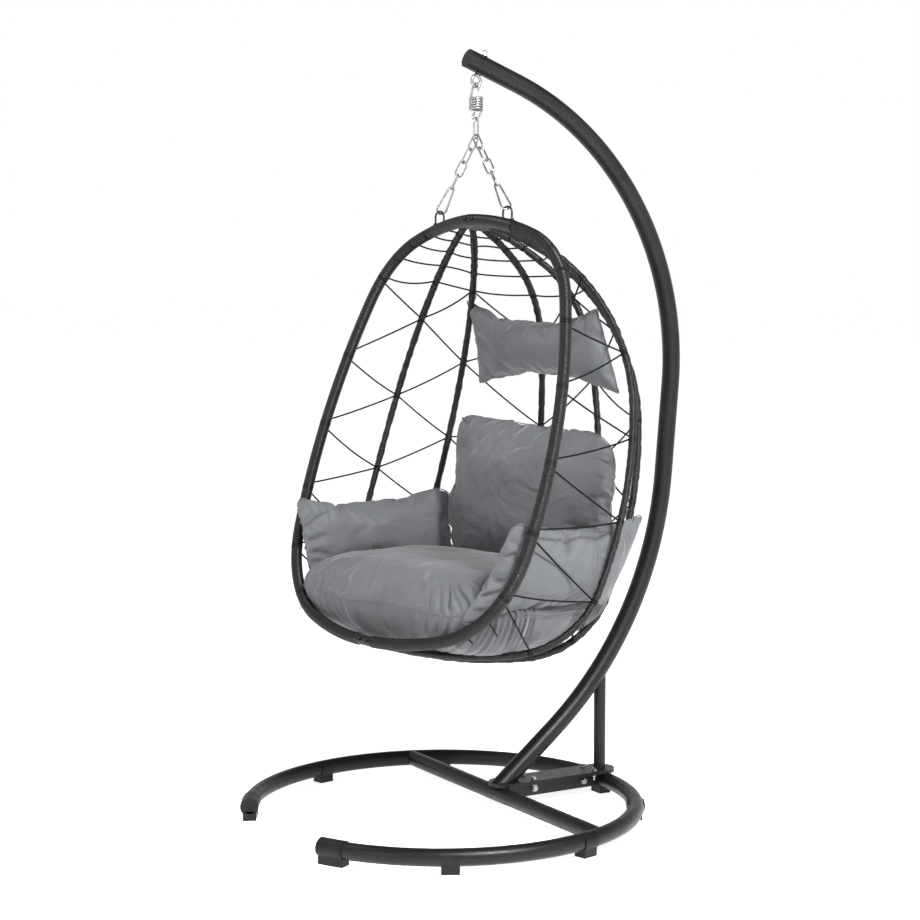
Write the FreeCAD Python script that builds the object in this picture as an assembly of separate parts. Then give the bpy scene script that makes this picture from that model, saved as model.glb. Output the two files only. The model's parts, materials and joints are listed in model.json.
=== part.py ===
import FreeCAD, Part
import math
import os

# Hanging egg chair: a C-shaped steel stand on a round base, and a leaning egg-shaped
# basket of tube ribs and cord that hangs from the stand on a spring and two short chains.
# Frame: millimetres, +Z up, -Y is the way the stand faces, origin on the ground under the
# middle of the stand.

V = FreeCAD.Vector
UP = V(0, 0, 1)
ACROSS = V(1, 0, 0)
BACK = V(0, 1, 0)

# ---------------------------------------------------------------- driving dimensions

# Base ring: a round tube bent to an arc that is open at the front
ring_radius = 495.0
ring_tube = 42.0
ring_height = 37.0
ring_half_sweep = 155.0
tube_wall = 1.5

# C-shaped arm, as the bends that make it: a straight, a bend, a straight, a bend, a straight
arm_tube = 48.0
arm_end_back = 75.0
arm_end_height = 1933.0
arm_end_slope = 20.0
arm_top_straight = 155.0
arm_top_radius = 760.0
arm_top_bend = 75.0
arm_middle_straight = 240.0
arm_foot_radius = 970.0
arm_foot_bend = 46.3
spigot_length = 180.0

# Foot joint: two stacked plates on a crossbar, a box beam and the back of the ring
crossbar_back = 167.0
crossbar_tube = 41.0
plate_width = 84.0
plate_thickness = 5.0
plate_front = 145.0
plate_rear = 530.0
beam_width = 25.0
beam_depth = 36.0
brace_tube = 32.0
brace_back = 490.0
foot_bolt_across = 27.0
foot_bolt_backs = (262.0, 455.0)
beam_bolt_backs = (273.0, 430.0)

# Plastic feet: saddle clips round the ring, and a sleeve with a foot on each open end
clip_wall = 3.0
clip_length = 42.0
clip_foot_width = 34.0
cap_length = 66.0
right_clip_angles = (33.0, 76.5, 118.0)
left_clip_angles = (-60.0, -102.0)

# The upright line that everything hangs on
hang_back = 98.5
eye_height = 1878.0
eye_radius = 14.0
eye_wire = 8.0
eye_turn = 11.0
nut_height = 16.0

# Extension spring
spring_wire = 6.0
spring_radius = 15.5
spring_top = 1841.0
spring_length = 40.0
hook_radius = 9.0
spring_hook_bottom = 1780.0
spring_face = 20.0
hook_gap = 1.2

# Chains and carabiners
link_wire = 4.5
link_inner_length = 39.0
link_inner_width = 15.0
links_each_side = 4
snap_wire = 5.0
top_snap_length = 51.7
top_snap_radius = 9.0
pear_small_radius = 7.0
pear_large_radius = 13.0
apex_spread = 3.0
apex_gap = 1.0
apex_inset = 0.6
top_snap_roll = -105.0
chain_rolls = (-5.0, 85.0, 148.0, 40.0, 110.0)
touch_gap = 0.3
eye_gap = 0.9

# Basket: a leaning egg hoop in two halves, with six ribs that fan out behind it
basket_turn = 9.5
basket_top_back = -18.0
basket_top_height = 1528.0
basket_length = 1093.0
basket_lean = 18.1
hoop_tube = 25.0
hoop_wrap = 28.0
hoop_sleeve = 31.0
hoop_sleeve_reach = 158.0
rib_tube = 13.0
rib_wrap = 16.0
joint_bolt_across = 15.0
joint_radius = 56.0
joint_thickness = 20.0
hoop_angle = 84.6
rib_angles = (-60.6, -42.6, -12.6, 12.6, 42.6, 60.6)
# Each outline as tube bends (radius, degrees) from the top joint; the last bend is
# worked out so that the tube ends at the bottom joint.
hoop_bends = ((668.0, 19.7), (257.0, 50.6), (1397.0, 26.4), (272.0, 67.0))
side_rib_bends = ((560.0, 19.0), (541.0, 58.0), (1180.0, 21.0), (240.0, 64.3))
back_rib_bends = ((726.0, 19.7), (324.0, 43.9), (1530.0, 22.5), (245.0, 72.9))

# Hanging eyes on the hoop
eye_loop_across = 134.0
eye_loop_width = 34.0
eye_loop_rod = 5.0
eye_loop_top = 1556.0
eye_loop_rolls = (8.0, 8.0)

# Cord web: level rows at the top, then a lattice of diamonds. Places are shares of the
# length of a rib from the top; the hoop's are stretched by their own factor.
cord = 4.5
row_places = (0.063, 0.090, 0.121, 0.155, 0.190)
hoop_row_places = (0.0797, 0.110, 0.148, 0.189, 0.232)
even_places = (0.190, 0.315, 0.433, 0.545, 0.655, 0.765)
odd_places = (0.262, 0.390, 0.505, 0.610, 0.715)
left_hoop_places = (0.232, 0.369, 0.486, 0.591, 0.690, 0.780)
right_hoop_places = (0.312, 0.410, 0.520, 0.620, 0.717)
lower_right_ties = ((0.759, 0.80), (0.805, 0.83))

# Cushions: width, depth and height, and where their middles are in the basket
back_cushion_size = (600.0, 120.0, 385.0)
back_cushion_place = (12.0, 146.0, 828.0)
pillow_size = (560.0, 96.0, 212.0)
pillow_place = (0.0, 147.0, 1210.0)
seat_top = 632.0
arm_cushion_height = 160.0
arm_cushion_thickness = 90.0
arm_cushion_line = ((378.0, -225.0), (400.0, -80.0), (366.0, 60.0))
soft_gap = 6.0

# ---------------------------------------------------------------- derived places

arm_back_reach = 721.0 + arm_tube / 2
cap_outer = ring_tube / 2 + 2.5
front_reach = (ring_radius + cap_outer) * math.cos(math.radians(180 - ring_half_sweep))
ring_y = -(arm_back_reach - front_reach) / 2
hang = V(0, ring_y + hang_back, 0)
plate_bottom = ring_height + ring_tube / 2
plate_top = plate_bottom + 2 * plate_thickness


# ---------------------------------------------------------------- small helpers

def save(name, shape):
    """Write one sub-part as a STEP file named after its node."""
    shape.exportStep("parts/" + name + ".step")


def group(shapes):
    """Separate solids that share one node."""
    return Part.Compound(list(shapes))


def cylinder(radius, length, start, direction):
    return Part.makeCylinder(radius, length, start, direction)


def rod(a, b, diameter):
    """A straight round bar from a to b."""
    along = b - a
    return Part.makeCylinder(diameter / 2, along.Length, a, along)


def unit(vector):
    result = V(vector)
    result.normalize()
    return result


def arc_from(start, heading, side, radius, degrees):
    """An arc that leaves start along heading and turns towards side. Returns edge, end, new heading."""
    angle = math.radians(degrees)
    centre = start + side * radius
    middle = centre - side * (radius * math.cos(angle / 2)) + heading * (radius * math.sin(angle / 2))
    end = centre - side * (radius * math.cos(angle)) + heading * (radius * math.sin(angle))
    turned = heading * math.cos(angle) + side * math.sin(angle)
    turned_side = side * math.cos(angle) - heading * math.sin(angle)
    edge = Part.Arc(start, middle, end).toShape()
    return edge, end, unit(turned), unit(turned_side)


def sweep(edges, diameter, start, heading):
    """A solid round bar along a smooth path."""
    circle = Part.Wire(Part.makeCircle(diameter / 2, start, heading))
    return Part.Wire(edges).makePipeShell([circle], True, False)


def bend_path(start, heading, side, steps):
    """Edges of a bent tube: each step is a straight length, or a (radius, degrees) bend."""
    edges = []
    for step in steps:
        if isinstance(step, tuple):
            edge, start, heading, side = arc_from(start, heading, side, step[0], step[1])
        else:
            end = start + heading * step
            edge = Part.LineSegment(start, end).toShape()
            start = end
        edges.append(edge)
    return edges, start, heading, side


def closing_arc(start, heading, end):
    """The arc that leaves start along heading and ends at end."""
    chord = end - start
    along = chord.dot(heading)
    aside = chord - heading * along
    side = unit(aside)
    radius = chord.Length ** 2 / (2 * aside.Length)
    angle = 2 * math.atan2(aside.Length, along)
    edge, last, turned, turned_side = arc_from(start, heading, side, radius, math.degrees(angle))
    return edge


def hex_prism(across_flats, height, base, axis, turn=0.0):
    """A hexagonal nut or bolt head, standing on base."""
    radius = across_flats / math.sqrt(3)
    corners = [V(radius * math.cos(math.radians(60 * i + turn)),
                 radius * math.sin(math.radians(60 * i + turn)), 0) for i in range(7)]
    prism = Part.Face(Part.makePolygon(corners)).extrude(V(0, 0, height))
    dome = Part.makeSphere(across_flats * 0.86, V(0, 0, height - across_flats * 0.70))
    shaped = prism.common(dome)
    shaped.Placement = FreeCAD.Placement(base, FreeCAD.Rotation(UP, axis))
    return shaped


def in_basket(across, back, height):
    """A place given in the basket's own directions, from the hanging line."""
    turn = FreeCAD.Rotation(UP, basket_turn)
    return hang + turn.multVec(V(across, back, 0)) + V(0, 0, height)


def basket_direction(across, back, up):
    return unit(FreeCAD.Rotation(UP, basket_turn).multVec(V(across, back, up)))


# ---------------------------------------------------------------- base ring and feet

def ring_sector(profile, start_angle, sweep_angle):
    """Turn a profile drawn in the XZ plane through the ring's centre about the ring's axis."""
    centre = V(0, ring_y, 0)
    solid = profile.revolve(V(0, 0, 0), UP, sweep_angle)
    place = FreeCAD.Placement(centre, FreeCAD.Rotation(UP, 90 - start_angle - sweep_angle))
    solid.Placement = place
    return solid


def disc_face(radius, inner=0.0):
    """A round or annular profile at the ring tube's section."""
    centre = V(ring_radius, 0, ring_height)
    outer = Part.Wire(Part.makeCircle(radius, centre, BACK))
    face = Part.Face(outer)
    if inner > 0:
        face = face.cut(Part.Face(Part.Wire(Part.makeCircle(inner, centre, BACK))))
    return face


def foot_block_face(width, top):
    """The upright profile of a foot's block, from the ground to inside the sleeve."""
    low = Part.makePlane(width, top, V(ring_radius - width / 2, 0, 0), V(0, -1, 0), V(1, 0, 0))
    return low


def make_base_ring():
    face = disc_face(ring_tube / 2, ring_tube / 2 - tube_wall)
    return ring_sector(face, -ring_half_sweep, 2 * ring_half_sweep)


def clip_profile():
    """Section of a saddle clip: a sleeve open at the top, on a block that meets the ground."""
    outer = disc_face(ring_tube / 2 + clip_wall)
    block = foot_block_face(clip_foot_width, ring_height - 12.0)
    shape = outer.fuse(block)
    shape = shape.cut(disc_face(ring_tube / 2 + 0.05))
    open_top = Part.makePlane(80, 40, V(ring_radius - 40, 0, ring_height + 9.0), V(0, -1, 0), V(1, 0, 0))
    return shape.cut(open_top)


def make_clip(angle):
    half = math.degrees(clip_length / 2 / ring_radius)
    faces = clip_profile().Faces
    parts = [ring_sector(face, angle - half, 2 * half) for face in faces]
    solid = parts[0]
    for part in parts[1:]:
        solid = solid.fuse(part)
    return solid.removeSplitter()


def make_end_cap(side):
    """Sleeve with its own foot on an open end of the ring; side is 1 for +X, -1 for -X."""
    sweep_angle = math.degrees(cap_length / ring_radius)
    wall = math.degrees(3.0 / ring_radius)
    inside = ring_tube / 2 + 0.05
    profile = disc_face(cap_outer).fuse(foot_block_face(clip_foot_width, ring_height - 12.0))
    sleeve_face = profile.cut(disc_face(inside)).removeSplitter()
    if side > 0:
        sleeve_start = ring_half_sweep - sweep_angle
        plug_start = ring_half_sweep
    else:
        sleeve_start = -ring_half_sweep
        plug_start = -ring_half_sweep - wall
    sleeve = ring_sector(sleeve_face.Faces[0], sleeve_start, sweep_angle)
    end_wall = ring_sector(profile.removeSplitter().Faces[0], plug_start, wall)
    return sleeve.fuse(end_wall).removeSplitter()


# ---------------------------------------------------------------- foot joint

def crossbar_blank(radius):
    start = V(-ring_radius, ring_y + crossbar_back, ring_height)
    return cylinder(radius, 2 * ring_radius, start, ACROSS)


def make_crossbar():
    """Cross tube, cut to fit between the two sides of the ring."""
    bar = crossbar_blank(crossbar_tube / 2).cut(crossbar_blank(crossbar_tube / 2 - tube_wall))
    ring_hole = ring_sector(disc_face(ring_tube / 2 + 0.05), -ring_half_sweep, 2 * ring_half_sweep)
    pieces = bar.cut(ring_hole).Solids
    return max(pieces, key=lambda solid: solid.Volume)


def foot_plate(bottom):
    """A long plate with round ends."""
    r = plate_width / 2
    front = V(0, ring_y + plate_front + r, bottom)
    rear = V(0, ring_y + plate_rear - r, bottom)
    length = rear.y - front.y
    bar = Part.makeBox(plate_width, length, plate_thickness, V(-r, front.y, bottom))
    plate = bar.fuse([cylinder(r, plate_thickness, front, UP), cylinder(r, plate_thickness, rear, UP)])
    plate = plate.removeSplitter()
    for place in foot_bolt_places():
        plate = plate.cut(cylinder(4.5, plate_thickness, V(place.x, place.y, bottom), UP))
    return plate


def foot_bolt_places():
    return [V(side * foot_bolt_across, ring_y + back, plate_top)
            for back in foot_bolt_backs for side in (-1, 1)]


def make_foot_bolts():
    """Four hex bolts with washers, down through both plates."""
    bolts = []
    for place in foot_bolt_places():
        washer = cylinder(9.0, 1.5, place, UP)
        head = hex_prism(13.0, 5.5, place + UP * 1.5, UP, 17.0)
        shank_length = 2 * plate_thickness + 16.0
        shank = cylinder(4.0, shank_length, place - UP * shank_length, UP)
        bolts.append(shank.fuse([washer, head]))
    return group(bolts)


def make_foot_nuts():
    nuts = []
    for place in foot_bolt_places():
        base = V(place.x, place.y, plate_bottom)
        nut = hex_prism(13.0, 6.5, base, UP * -1, 8.0)
        nuts.append(nut.cut(cylinder(4.05, 20.0, base - UP * 10, UP)))
    return group(nuts)


def make_rear_beam():
    """Box beam under the plates, from the crossbar to the back of the ring."""
    front = ring_y + crossbar_back
    rear = ring_y + ring_radius
    low = plate_bottom - beam_depth
    outer = Part.makeBox(beam_width, rear - front, beam_depth, V(-beam_width / 2, front, low))
    inner_width = beam_width - 2 * tube_wall
    inner = Part.makeBox(inner_width, rear - front, beam_depth - 2 * tube_wall,
                         V(-inner_width / 2, front, low + tube_wall))
    beam = outer.cut(inner)
    beam = beam.cut(crossbar_blank(crossbar_tube / 2 + 0.05))
    beam = beam.cut(ring_sector(disc_face(ring_tube / 2 + clip_wall + 0.3), -30, 60))
    for back in beam_bolt_backs:
        hole = cylinder(4.05, 2 * beam_width, V(-beam_width, ring_y + back, beam_bolt_height()), ACROSS)
        beam = beam.cut(hole)
    return max(beam.Solids, key=lambda solid: solid.Volume)


def beam_bolt_height():
    return plate_bottom - beam_depth / 2


def make_beam_bolts():
    """Two bolts across the beam, each with a nut on the far side."""
    bolts = []
    for back in beam_bolt_backs:
        place = V(beam_width / 2, ring_y + back, beam_bolt_height())
        washer = cylinder(8.5, 1.5, place, ACROSS)
        head = hex_prism(13.0, 5.5, place + ACROSS * 1.5, ACROSS, 10.0)
        shank_length = beam_width + 12.0
        shank = cylinder(4.0, shank_length, place - ACROSS * shank_length, ACROSS)
        nut = hex_prism(13.0, 6.5, place - ACROSS * beam_width, ACROSS * -1, 25.0)
        bolts.append(shank.fuse([washer, head, nut]))
    return group(bolts)


def make_brace():
    """Upright tube from the plates to the underside of the lower arm."""
    start = V(0, ring_y + brace_back, plate_top)
    height = 330.0
    tube = cylinder(brace_tube / 2, height, start, UP)
    tube = tube.cut(cylinder(brace_tube / 2 - tube_wall, height, start, UP))
    arm = arm_solid(arm_tube + 0.1)
    return min(tube.cut(arm).Solids, key=lambda solid: solid.BoundBox.ZMin)


# ---------------------------------------------------------------- C-shaped arm

def arm_steps():
    slope = arm_end_slope + arm_top_bend + arm_foot_bend
    return (arm_top_straight, (arm_top_radius, arm_top_bend), arm_middle_straight,
            (arm_foot_radius, arm_foot_bend), 260.0), slope


def arm_start():
    slope = math.radians(arm_end_slope)
    start = V(0, ring_y + arm_end_back, arm_end_height)
    heading = V(0, math.cos(slope), -math.sin(slope))
    side = V(0, -math.sin(slope), -math.cos(slope))
    return start, heading, side


def arm_solid(diameter):
    """The whole arm as one bar, long enough to run into the plates."""
    start, heading, side = arm_start()
    steps, slope = arm_steps()
    edges, end, last, last_side = bend_path(start, heading, side, steps)
    return sweep(edges, diameter, start, heading)


def arm_seam():
    """Middle of the arm's straight stretch, where the two pieces meet."""
    start, heading, side = arm_start()
    steps, slope = arm_steps()
    edges, end, heading, side = bend_path(start, heading, side, steps[:2])
    return end + heading * (arm_middle_straight * 0.35), heading


def half_space(point, normal, size=3000.0):
    """A large block on the side of point that normal points to."""
    box = Part.makeBox(size, size, size, V(-size / 2, -size / 2, 0))
    box.Placement = FreeCAD.Placement(point, FreeCAD.Rotation(UP, normal))
    return box


def make_arm():
    """Upper and lower arm tubes and the spigot that joins them."""
    tube = arm_solid(arm_tube).cut(arm_solid(arm_tube - 2 * tube_wall))
    seam, heading = arm_seam()
    upper = tube.common(half_space(seam - heading * 0.4, heading * -1))
    bolt_hole_start, bolt_axis = eye_bolt_line()
    upper = upper.cut(cylinder(4.1, 120.0, bolt_hole_start - bolt_axis * 60, bolt_axis))
    lower = tube.common(half_space(seam + heading * 0.4, heading))
    lower = lower.common(half_space(V(0, 0, plate_top), UP))
    spigot_start = seam - heading * (spigot_length / 2)
    spigot_outer = cylinder(arm_tube / 2 - tube_wall - 0.2, spigot_length, spigot_start, heading)
    spigot_inner = cylinder(arm_tube / 2 - tube_wall - 2.2, spigot_length, spigot_start, heading)
    return upper, lower, spigot_outer.cut(spigot_inner)


def make_arm_plug():
    """Plastic plug in the arm's open top end, with a low domed face."""
    start, heading, side = arm_start()
    flange = cylinder(arm_tube / 2, 3.0, start - heading * 3.0, heading)
    dome = Part.makeSphere(60.0, start - heading * 3.0 + heading * 55.0)
    flange = flange.common(dome)
    stem = cylinder(arm_tube / 2 - tube_wall - 0.1, 18.0, start, heading)
    return flange.fuse(stem)


# ---------------------------------------------------------------- hanging hardware

def eye_bolt_line():
    """Where the eye bolt crosses the arm's centreline, and the bolt's direction upwards."""
    start, heading, side = arm_start()
    axis = side * -1
    eye = V(0, hang.y, eye_height)
    return eye + axis * (start - eye).dot(axis), axis


def make_eye_bolt():
    """Forged eye under the arm with a shank up through the tube."""
    crossing, axis = eye_bolt_line()
    eye = V(0, hang.y, eye_height)
    ring = Part.makeTorus(eye_radius, eye_wire / 2, eye, eye_normal(), 0, 360, 360)
    shank_start = eye + axis * (eye_radius + 1.0)
    top = crossing + axis * (arm_tube / 2 + nut_height - 2.0)
    shank = rod(shank_start, top, 8.0)
    return ring.fuse(shank)


def eye_normal():
    """The eye's ring stands across the arm."""
    crossing, axis = eye_bolt_line()
    start, heading, side = arm_start()
    return FreeCAD.Rotation(axis, eye_turn).multVec(ACROSS)


def make_eye_nut():
    """Domed cap nut and washer on top of the arm."""
    crossing, axis = eye_bolt_line()
    base = crossing + axis * (arm_tube / 2 + 1.6)
    nut = hex_prism(13.0, 8.0, base, axis, 12.0)
    dome = Part.makeSphere(6.2, base + axis * 8.0)
    dome = dome.common(half_space(base + axis * 7.0, axis, 60.0))
    washer = cylinder(9.5, 1.6, base - axis * 1.4, axis)
    shank = rod(crossing, crossing + axis * (arm_tube / 2 + nut_height - 2.0), 8.0)
    return nut.fuse([dome, washer]).cut(shank)


def make_grommet():
    """Rubber grommet where the eye bolt leaves the tube."""
    crossing, axis = eye_bolt_line()
    side = axis * -1
    outer = cylinder(8.6, 6.0, crossing + side * (arm_tube / 2 - 4.6), side)
    arm = arm_solid(arm_tube + 0.02)
    ring = outer.cut(arm).cut(cylinder(4.05, 60.0, crossing - axis * 30, axis))
    return max(ring.Solids, key=lambda solid: solid.Volume)


def upright_plane_point(across, height):
    """A place in the spring's plane, which faces the front."""
    return hang + spring_side() * across + UP * height


def spring_side():
    """Level direction that the spring's two hooks lie along."""
    return FreeCAD.Rotation(UP, spring_face).multVec(basket_direction(1, 0, 0))


def spring_hook_path(sign, centre_height, coil_height, opening):
    """Open hook over a round bar: an arc, and a straight that runs to the coil's end."""
    centre = upright_plane_point(0, centre_height)
    foot = upright_plane_point(-sign * spring_radius, coil_height)
    leaning = math.atan2(spring_radius, abs(centre_height - coil_height))
    reach = math.hypot(spring_radius, centre_height - coil_height)
    tangent = leaning - math.asin(hook_radius / reach)
    heading = unit(spring_side() * (sign * math.sin(tangent)) + UP * (sign * math.cos(tangent)))
    straight = math.sqrt(reach ** 2 - hook_radius ** 2)
    side = unit(spring_side() * (sign * math.cos(tangent)) - UP * (sign * math.sin(tangent)))
    return bend_path(foot, heading, side, (straight, (hook_radius, opening))), foot, heading


def make_spring():
    """Close-wound coil with its top hook, and the bottom hook as its own piece."""
    turns = (spring_length - spring_wire) / (spring_wire + 0.15)
    low = spring_top - spring_length + spring_wire / 2
    height = spring_length - spring_wire
    helix = Part.makeHelix(height / turns, height, spring_radius)
    helix_turn = basket_turn + spring_face + 180.0 - 360.0 * turns
    helix.Placement = FreeCAD.Placement(hang + UP * low, FreeCAD.Rotation(UP, helix_turn))
    start = helix.Edges[0].valueAt(helix.Edges[0].FirstParameter)
    tangent = helix.Edges[0].tangentAt(helix.Edges[0].FirstParameter)
    coil = sweep([helix.Edges[0]], spring_wire, start, tangent)
    eye_wire_low = eye_height - eye_radius
    hook_centre = eye_wire_low + eye_wire / 2 + 3 * touch_gap - hook_radius + spring_wire / 2
    path, foot, heading = spring_hook_path(1, hook_centre, spring_top - spring_wire / 2, 225.0)
    top_hook = sweep(path[0], spring_wire, foot, heading)
    low_centre = spring_hook_bottom + hook_radius
    path, foot, heading = spring_hook_path(-1, low_centre, low - spring_wire / 2 - hook_gap, 225.0)
    low_hook = sweep(path[0], spring_wire, foot, heading)
    coil = coil.fuse(top_hook)
    return coil, low_hook


def snap_frame(top, bottom, roll):
    """Directions of a carabiner that hangs from top to bottom: across, along, and face normal."""
    along = unit(bottom - top)
    flat = basket_direction(0, 1, 0)
    normal = unit(flat - along * flat.dot(along))
    normal = FreeCAD.Rotation(along, roll).multVec(normal)
    across = unit(along.cross(normal))
    return across, along, normal


def make_snap(top, bottom, small, large, roll, gate_from, gate_to):
    """Carabiner body and gate. Small and large are the end radii of the wire's centreline."""
    across, along, normal = snap_frame(top, bottom, roll)
    small_centre = top + along * small
    large_centre = bottom - along * large
    distance = (large_centre - small_centre).Length
    flare = math.asin((large - small) / distance)
    side_length = distance * math.cos(flare)
    out_right = across * math.cos(flare) - along * math.sin(flare)
    down_right = along * math.cos(flare) + across * math.sin(flare)
    out_left = across * -math.cos(flare) - along * math.sin(flare)
    down_left = along * math.cos(flare) - across * math.sin(flare)
    hinge = small_centre + out_right * small + down_right * (side_length * gate_from)
    nose = small_centre + out_right * small + down_right * (side_length * gate_to)
    gap = snap_wire / 2 + 0.4
    start = hinge - down_right * gap
    steps = (side_length * gate_from - gap, (small, 180.0 - 2 * math.degrees(flare)), side_length,
             (large, 180.0 + 2 * math.degrees(flare)), side_length * (1 - gate_to) - 0.4)
    edges, end, heading, side = bend_path(start, down_right * -1, out_right * -1, steps)
    body = sweep(edges, snap_wire, start, down_right * -1)
    gate = rod(hinge, nose - down_right * 0.4, snap_wire)
    gate = gate.fuse(Part.makeSphere(snap_wire / 2, hinge))
    return body, gate


def make_link(top, direction, roll):
    """One welded oval link whose top wire is centred on top."""
    across, along, normal = snap_frame(top, top + direction * 10, roll)
    radius = (link_inner_width + link_wire) / 2
    straight = link_inner_length + link_wire - 2 * radius
    start = top + along * radius + across * radius
    steps = (straight, (radius, 180.0), straight, (radius, 180.0))
    edges, end, heading, side = bend_path(start, along, across * -1, steps)
    first = sweep(edges[:2], link_wire, start, along)
    middle = edges[2].valueAt(edges[2].FirstParameter)
    second = sweep(edges[2:], link_wire, middle, along * -1)
    return first.fuse(second)


def apex_point(sign):
    """Centre of the wire where a chain's first link rests in the top carabiner."""
    bow_centre = top_snap_ends()[1].z + top_snap_radius
    rest = top_snap_radius - snap_wire / 2 - link_wire / 2 - apex_gap
    drop = math.sqrt(rest ** 2 - apex_spread ** 2)
    return in_basket(-sign * apex_inset, -sign * apex_spread, bow_centre - drop)


def top_snap_ends():
    high = spring_hook_bottom + spring_wire / 2 + snap_wire / 2 + touch_gap
    return in_basket(0, 0, high), in_basket(0, 0, high - top_snap_length)


def hoop_frame():
    """Directions of the leaning basket: down its length, and out behind it."""
    lean = math.radians(basket_lean)
    down = basket_direction(0, -math.sin(lean), -math.cos(lean))
    behind = basket_direction(0, math.cos(lean), -math.sin(lean))
    top = in_basket(0, basket_top_back, basket_top_height)
    return top, down, behind


def outward(angle):
    """Direction from the basket's long axis at an angle from straight behind, towards +X."""
    top, down, behind = hoop_frame()
    a = math.radians(angle)
    return unit(basket_direction(1, 0, 0) * math.sin(a) + behind * math.cos(a))


def basket_path(angle, bends, start_reach):
    """Path of a hoop half or a rib, from start_reach off the top joint to the bottom joint."""
    top, down, behind = hoop_frame()
    out = outward(angle)
    first_radius, first_sweep = bends[0]
    skipped = math.degrees(math.asin(start_reach / first_radius))
    start, heading, side = top, out, down
    if start_reach:
        edge, start, heading, side = arc_from(top, out, down, first_radius, skipped)
    steps = ((first_radius, first_sweep - skipped),) + tuple(bends[1:])
    edges, end, last, last_side = bend_path(start, heading, side, steps)
    bottom = top + down * basket_length
    edges.append(closing_arc(end, last, bottom))
    return edges, start, heading


def full_path(angle, bends):
    top, down, behind = hoop_frame()
    return basket_path(angle, bends, 0.0)


def eye_contact(sign):
    """Centre of the carabiner's wire where it passes under the hoop's hanging eye."""
    edges, start, heading = full_path(sign * hoop_angle, hoop_bends)
    first = edges[0]
    reach = eye_loop_across / hoop_bends[0][0]
    place = first.valueAt(first.FirstParameter + (first.LastParameter - first.FirstParameter)
                          * math.degrees(reach) / hoop_bends[0][1])
    height = eye_loop_top - eye_loop_rod / 2 - snap_wire / 2 - eye_gap
    return V(place.x, place.y, height), place


def make_chain(sign):
    """Links from the top carabiner down to the pear carabiner on one hanging eye."""
    top = apex_point(sign)
    bottom = eye_contact(sign)[0]
    direction = unit(bottom - top)
    step = link_inner_length - touch_gap
    links = []
    place = top
    for roll in chain_rolls[:links_each_side]:
        links.append(make_link(place, direction, roll))
        place = place + direction * step
    place = place - direction * ((snap_wire - link_wire) / 2)
    body, gate = make_snap(place, bottom, pear_small_radius, pear_large_radius, chain_rolls[-1], 0.05, 0.72)
    return links, body, gate


def make_hanging_eye(sign, roll):
    """Steel rod loop welded on the hoop's top sleeve, with a collar round each leg."""
    contact, place = eye_contact(sign)
    across = FreeCAD.Rotation(UP, roll).multVec(basket_direction(1, 0, 0))
    radius = eye_loop_width / 2 - eye_loop_rod / 2
    crown = V(contact.x, contact.y, eye_loop_top)
    centre = crown - UP * radius
    leg = centre.z - place.z - 9.0
    start = centre - across * radius - UP * leg
    steps = (leg, (radius, 180.0), leg)
    edges, end, heading, side = bend_path(start, UP, across, steps)
    loop = sweep(edges, eye_loop_rod, start, UP)
    collars = [cylinder(5.5, 7.0, point - UP * 1.5, UP) for point in (start, end)]
    sleeve = sleeve_solid(sign, hoop_sleeve + 0.1)
    return loop.fuse(collars).cut(sleeve)


# ---------------------------------------------------------------- basket frame

def sleeve_solid(sign, diameter):
    """The thick sleeve at the top of a hoop half, as a solid bar."""
    top, down, behind = hoop_frame()
    out = outward(sign * hoop_angle)
    sweep_angle = math.degrees(hoop_sleeve_reach / hoop_bends[0][0])
    edge, end, heading, side = arc_from(top, out, down, hoop_bends[0][0], sweep_angle)
    return sweep([edge], diameter, top, out)


def basket_side(sign, gap=0.15):
    """Everything on one side of the basket's middle."""
    across = basket_direction(1, 0, 0) * sign
    return half_space(in_basket(0, 0, 0) + across * gap, across, 6000.0)


def make_hoop_half(sign):
    """Steel tube, thick top sleeve, and rattan wrap of one half of the hoop."""
    edges, start, heading = full_path(sign * hoop_angle, hoop_bends)
    bar = sweep(edges, hoop_tube, start, heading)
    bore = sweep(edges, hoop_tube - 2 * tube_wall, start, heading)
    sleeve = sleeve_solid(sign, hoop_sleeve)
    side = basket_side(sign)
    tube = drill_joint_holes(bar.fuse(sleeve).cut(bore).common(side))
    wrap = sweep(edges, hoop_wrap, start, heading).cut(bar).cut(sleeve_solid(sign, hoop_sleeve + 6.0))
    wrap = wrap.common(basket_side(sign, 26.0))
    return tube, wrap


def rib_shape(angle):
    return back_rib_bends if abs(angle) < 20 else side_rib_bends


def make_rib(angle):
    """One rib tube and its wrap, cut clear of the joint blocks at both ends."""
    edges, start, heading = basket_path(angle, rib_shape(angle), joint_radius - 6.0)
    bar = sweep(edges, rib_tube, start, heading)
    bore = sweep(edges, rib_tube - 2.4, start, heading)
    skin = sweep(edges, rib_wrap, start, heading)
    top, down, behind = hoop_frame()
    bottom = top + down * basket_length
    keep_out = [cylinder(joint_radius + 0.3, 120.0, end - down * 60, down) for end in (top, bottom)]
    rib = bar.cut([bore] + keep_out)
    wrap = skin.cut([bar] + keep_out)
    rib = max(rib.Solids, key=lambda solid: solid.Volume)
    wrap = max(wrap.Solids, key=lambda solid: solid.Volume)
    return rib, wrap


def make_joint(at_top):
    """Half-round block behind the hoop that the rib ends meet, on a bolt."""
    top, down, behind = hoop_frame()
    place = top if at_top else top + down * basket_length
    block = cylinder(joint_radius, joint_thickness, place - down * (joint_thickness / 2), down)
    block = block.common(half_space(place + behind * 4.0, behind, 400.0))
    for sign in (-1, 1):
        edges, start, heading = full_path(sign * hoop_angle, hoop_bends)
        block = block.cut(sweep(edges, hoop_sleeve + 0.2, start, heading))
    block = max(block.Solids, key=lambda solid: solid.Volume)
    return drill_joint_holes(block)


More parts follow.
